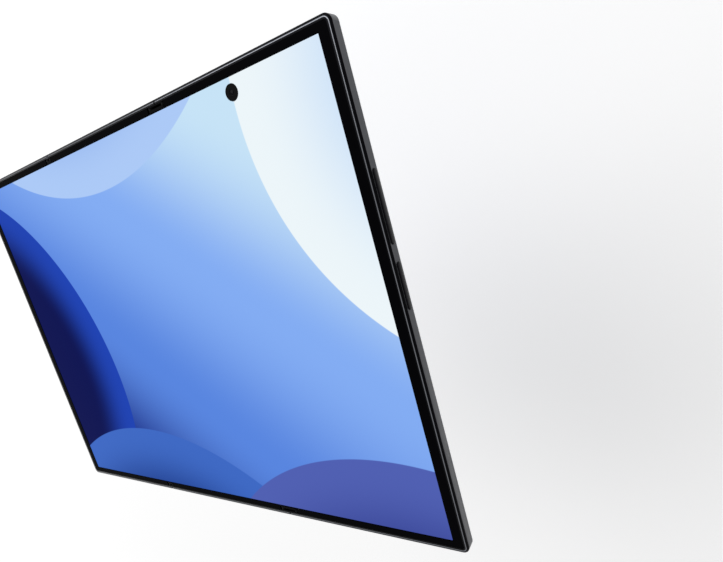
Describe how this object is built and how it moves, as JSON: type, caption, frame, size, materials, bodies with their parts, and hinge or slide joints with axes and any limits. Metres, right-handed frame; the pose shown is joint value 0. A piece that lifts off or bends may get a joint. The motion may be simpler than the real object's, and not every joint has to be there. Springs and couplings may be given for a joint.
{
  "type": "foldable smartphone",
  "caption": "Foldable smartphone of joined panels with a flexible inner display, geared inward hinges, a cover display, side keys and a pull-out card tray.",
  "frame": {"origin": "middle of the cover glass face on the back of the centre panel, which is the flat face the open phone rests on", "axes": "+X across the open screen to the panel with the keys, +Y up the screen, +Z out of the inner display"},
  "size_m": [0.2144, 0.1592, 0.0059],
  "materials": {
    "frame_aluminium": "anodised graphite, satin",
    "key_aluminium": "anodised graphite, polished edge",
    "cover_glass": "polished, printed black border",
    "back_glass": "matt etched graphite",
    "display": "glossy, lit",
    "bezel": "soft-touch black",
    "spine_metal": "anodised charcoal, satin",
    "end_plate_steel": "black, satin",
    "hinge_steel": "ground",
    "screw_steel": "machined",
    "support_sheet": "rolled sheet",
    "gear_brass": "cut",
    "battery_foil": "laminate pouch",
    "circuit_board": "solder mask",
    "shield_steel": "stamped",
    "speaker_plastic": "moulded",
    "camera_glass": "coated",
    "camera_ring": "turned, polished",
    "island_metal": "anodised, satin",
    "coil_copper": "enamelled winding",
    "switch_metal": "gold plated dome",
    "seal_rubber": "moulded"
  },
  "bodies": {
    "centre_panel": {"centre_frame": "frame_aluminium", "cover_glass": "cover_glass", "cover_display": "display", "cover_camera": "speaker_plastic", "earpiece_speaker": "speaker_plastic", "battery_centre": "battery_foil", "display_support_centre": "support_sheet", "inner_display_centre": "display", "bezel_centre": "bezel", "hinge_arms_centre": "hinge_steel", "hinge_screws_centre": "screw_steel"},
    "small_spine": {"small_spine_cover": "spine_metal", "small_end_plates": "end_plate_steel", "small_hinge_pins": "hinge_steel", "small_centre_bar": "hinge_steel", "display_fold_small": "display"},
    "left_panel": {"left_frame": "frame_aluminium", "left_back_cover": "back_glass", "battery_left": "battery_foil", "left_board": "circuit_board", "sim_reader": "shield_steel", "display_support_left": "support_sheet", "inner_display_left": "display", "bezel_left": "bezel", "hinge_arms_left": "hinge_steel", "hinge_screws_left": "screw_steel"},
    "sim_tray": {"sim_tray": "frame_aluminium", "sim_tray_seal": "seal_rubber"},
    "big_spine": {"big_spine_cover": "spine_metal", "big_end_plates": "end_plate_steel", "big_hinge_pins": "hinge_steel", "big_centre_bar": "hinge_steel", "display_fold_big": "display"},
    "right_panel": {"right_frame": "frame_aluminium", "right_back_cover": "back_glass", "camera_island": "island_metal", "camera_rings": "camera_ring", "camera_windows": "camera_glass", "camera_modules": "speaker_plastic", "main_board": "circuit_board", "shield_cans": "shield_steel", "battery_right": "battery_foil", "display_support_right": "support_sheet", "inner_display_right": "display", "inner_camera": "camera_glass", "bezel_right": "bezel", "hinge_arms_right": "hinge_steel", "hinge_screws_right": "screw_steel", "usb_receptacle": "shield_steel", "loudspeaker": "speaker_plastic", "wireless_coil": "coil_copper", "key_switches": "switch_metal"},
    "volume_key": {"volume_key": "key_aluminium"},
    "side_key": {"side_key": "key_aluminium"},
    "small_idler_inner": {"small_idler_inner": "gear_brass"},
    "small_idler_outer": {"small_idler_outer": "gear_brass"},
    "big_idler_1": {"big_idler_1": "gear_brass"},
    "big_idler_2": {"big_idler_2": "gear_brass"},
    "big_idler_3": {"big_idler_3": "gear_brass"},
    "big_idler_4": {"big_idler_4": "gear_brass"}
  },
  "joints": [
    {"name": "left_fold_inner", "type": "hinge", "parent": "centre_panel", "child": "small_spine", "pos_m": [-0.03578, 0, 0.0032], "axis": [0, 1, 0], "range_deg": [0, 90], "deforming": ["display_fold_small"]},
    {"name": "left_fold_outer", "type": "hinge", "parent": "small_spine", "child": "left_panel", "pos_m": [-0.03822, 0, 0.0032], "axis": [0, 1, 0], "range_deg": [0, 90]},
    {"name": "right_fold_inner", "type": "hinge", "parent": "centre_panel", "child": "big_spine", "pos_m": [0.03361, 0, 0.0032], "axis": [0, -1, 0], "range_deg": [0, 90], "deforming": ["display_fold_big"]},
    {"name": "right_fold_outer", "type": "hinge", "parent": "big_spine", "child": "right_panel", "pos_m": [0.04039, 0, 0.0032], "axis": [0, -1, 0], "range_deg": [0, 90]},
    {"name": "small_idler_inner_spin", "type": "hinge", "parent": "small_spine", "child": "small_idler_inner", "pos_m": [-0.03645, 0, 0.00233], "axis": [0, 1, 0], "range_deg": [0, 90]},
    {"name": "small_idler_outer_spin", "type": "hinge", "parent": "small_spine", "child": "small_idler_outer", "pos_m": [-0.03755, 0, 0.00233], "axis": [0, 1, 0], "range_deg": [-90, 0]},
    {"name": "big_idler_1_spin", "type": "hinge", "parent": "big_spine", "child": "big_idler_1", "pos_m": [0.03475, 0, 0.00223], "axis": [0, -1, 0], "range_deg": [0, 90]},
    {"name": "big_idler_2_spin", "type": "hinge", "parent": "big_spine", "child": "big_idler_2", "pos_m": [0.03625, 0, 0.00235], "axis": [0, -1, 0], "range_deg": [-90, 0]},
    {"name": "big_idler_3_spin", "type": "hinge", "parent": "big_spine", "child": "big_idler_3", "pos_m": [0.03775, 0, 0.00235], "axis": [0, -1, 0], "range_deg": [0, 90]},
    {"name": "big_idler_4_spin", "type": "hinge", "parent": "big_spine", "child": "big_idler_4", "pos_m": [0.03925, 0, 0.00223], "axis": [0, -1, 0], "range_deg": [-90, 0]},
    {"name": "volume_key_press", "type": "slide", "parent": "right_panel", "child": "volume_key", "axis": [-1, 0, 0], "range_m": [0, 0.00025], "stiffness_N_per_m": 1500},
    {"name": "side_key_press", "type": "slide", "parent": "right_panel", "child": "side_key", "axis": [-1, 0, 0], "range_m": [0, 0.00025], "stiffness_N_per_m": 1500},
    {"name": "sim_tray_slide", "type": "slide", "parent": "left_panel", "child": "sim_tray", "axis": [0, -1, 0], "range_m": [0, 0.02]}
  ],
  "couplings": [
    {"joint": "left_fold_outer", "follows": "left_fold_inner", "ratio": 1},
    {"joint": "right_fold_outer", "follows": "right_fold_inner", "ratio": 1},
    {"joint": "small_idler_inner_spin", "follows": "left_fold_inner", "ratio": 1},
    {"joint": "small_idler_outer_spin", "follows": "left_fold_inner", "ratio": -1},
    {"joint": "big_idler_1_spin", "follows": "right_fold_inner", "ratio": 1},
    {"joint": "big_idler_2_spin", "follows": "right_fold_inner", "ratio": -1},
    {"joint": "big_idler_3_spin", "follows": "right_fold_inner", "ratio": 1},
    {"joint": "big_idler_4_spin", "follows": "right_fold_inner", "ratio": -1}
  ]
}
